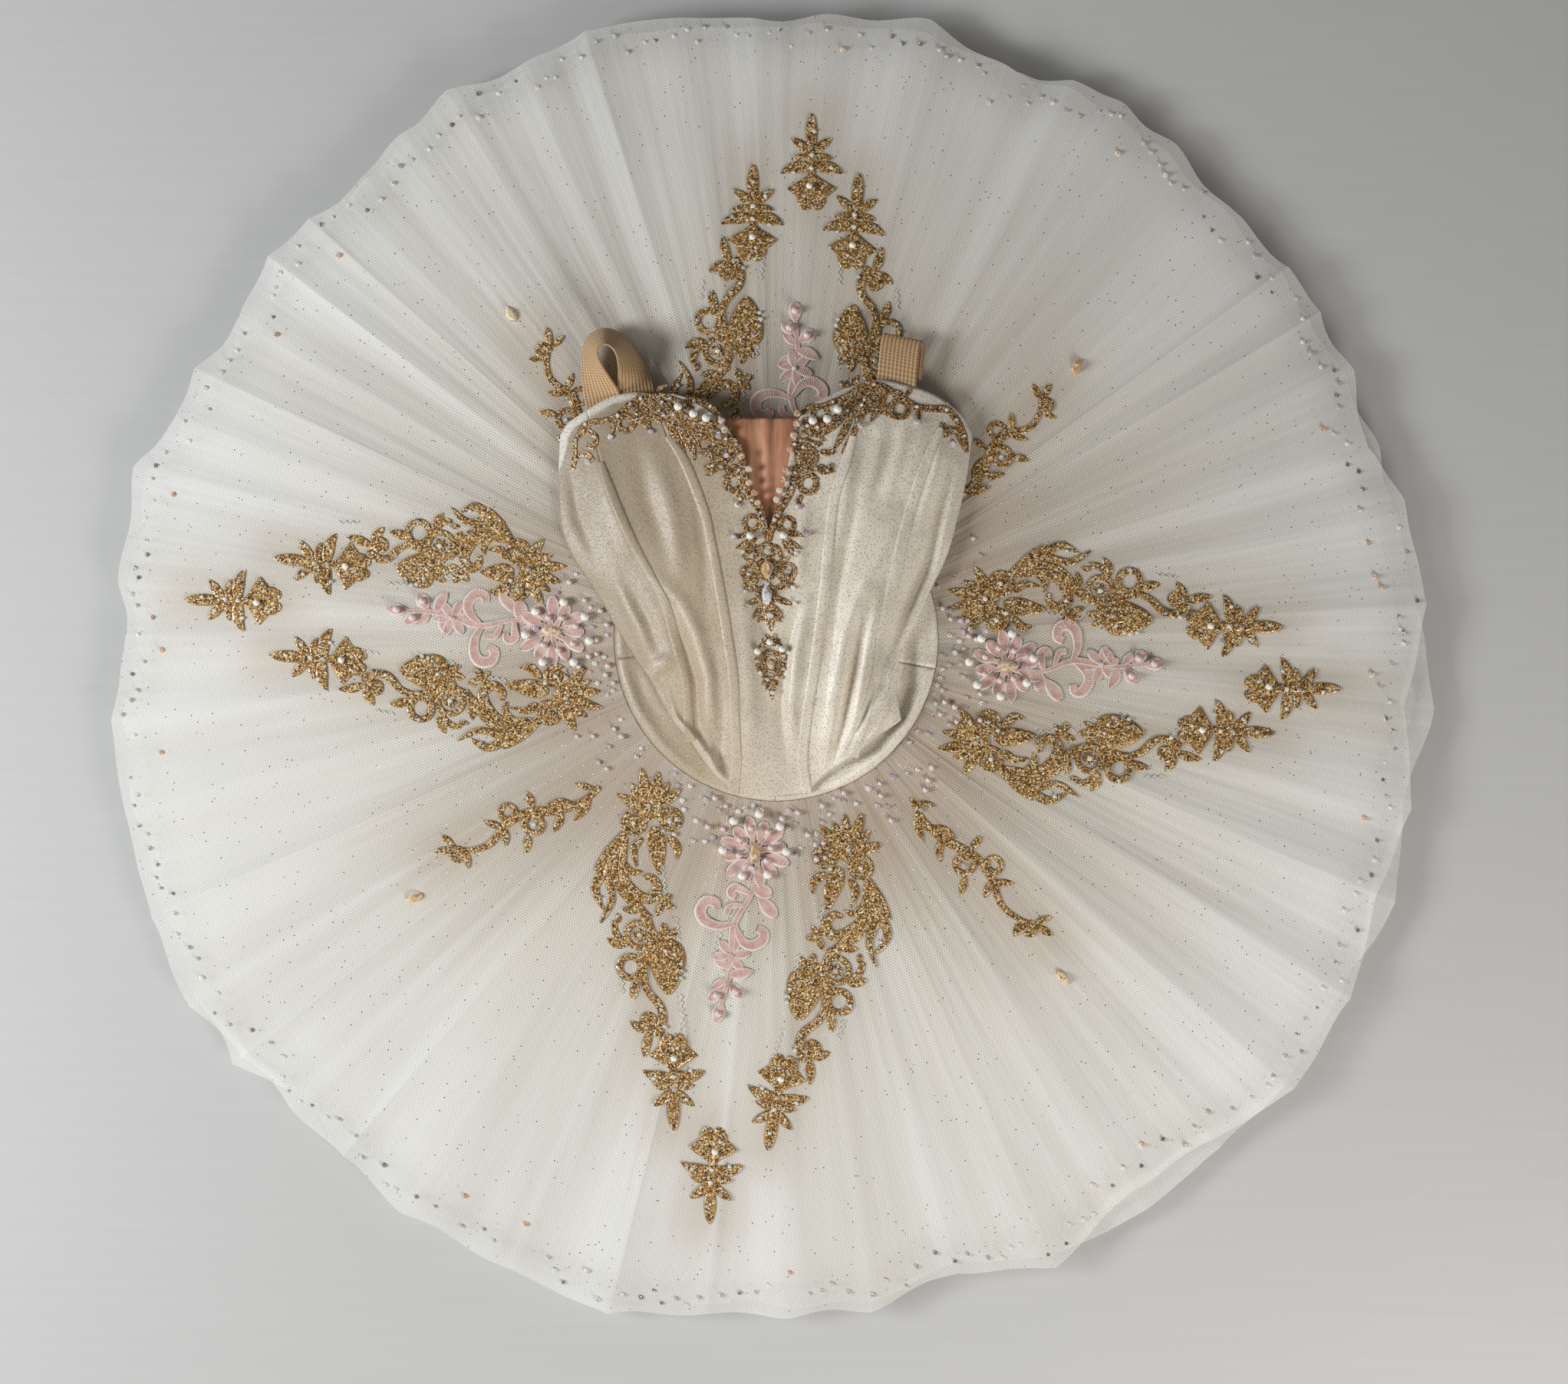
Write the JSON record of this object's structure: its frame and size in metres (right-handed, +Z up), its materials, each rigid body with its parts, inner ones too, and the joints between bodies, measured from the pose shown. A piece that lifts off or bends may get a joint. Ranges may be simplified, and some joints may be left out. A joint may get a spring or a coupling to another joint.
{
  "type": "ballet tutu",
  "caption": "Ballet tutu laid flat on its plate of pleated net, boned velvet bodice fallen back over it, with gold and pink corded lace sprays and elastic shoulder loops",
  "frame": {"origin": "middle of the hip ring, on the surface that the tutu rests on (the flat underside of the knickers)", "axes": "+Y from the front of the garment to its back, +X to the right of someone who looks down on it, +Z up"},
  "size_m": [0.9389, 0.9206, 0.0854],
  "materials": {
    "net_ivory": "ivory nylon tutu net with glitter, translucent",
    "net_white": "white nylon tutu net, translucent",
    "velvet": "cream stretch velvet with fine gold glitter dots",
    "nude_satin": "nude satin-backed stretch cloth",
    "elastic": "ribbed beige elastic",
    "gold_lace": "antique gold bullion and glitter lace",
    "pink_lace": "dusty pink corded satin lace",
    "pearl": "sewn-on pearls, pearly lustre",
    "crystal": "foiled crystals, clear, lilac and champagne"
  },
  "bodies": {
    "root": {"basque_back_left": "velvet", "basque_back_right": "velvet", "basque_front_left": "velvet", "basque_front_right": "velvet", "bodice_back": "velvet", "bodice_centre_front": "velvet", "bodice_side_front_left": "velvet", "bodice_side_front_right": "velvet", "bodice_side_left": "velvet", "bodice_side_right": "velvet", "casing_inner_left": "velvet", "casing_inner_right": "velvet", "casing_outer_left": "velvet", "casing_outer_right": "velvet", "centre_drop": "gold_lace", "garland_back_left": "gold_lace", "garland_back_right": "gold_lace", "garland_front_left": "gold_lace", "garland_front_right": "gold_lace", "garland_left_lower": "gold_lace", "garland_left_upper": "gold_lace", "garland_right_lower": "gold_lace", "garland_right_upper": "gold_lace", "insert": "nude_satin", "knickers": "net_white", "lily_back": "gold_lace", "lily_front": "gold_lace", "lily_left": "gold_lace", "lily_right": "gold_lace", "medallion": "gold_lace", "neckline_left": "gold_lace", "neckline_right": "gold_lace", "net_2": "net_white", "net_3": "net_white", "overlay_net": "net_ivory", "scroll_back_left": "gold_lace", "scroll_back_right": "gold_lace", "scroll_front_left": "gold_lace", "scroll_front_right": "gold_lace", "sprig_back": "pink_lace", "sprig_front": "pink_lace", "sprig_left": "pink_lace", "sprig_right": "pink_lace", "strap_left": "elastic", "strap_right": "elastic", "under_nets": "net_white"}
  },
  "joints": []
}
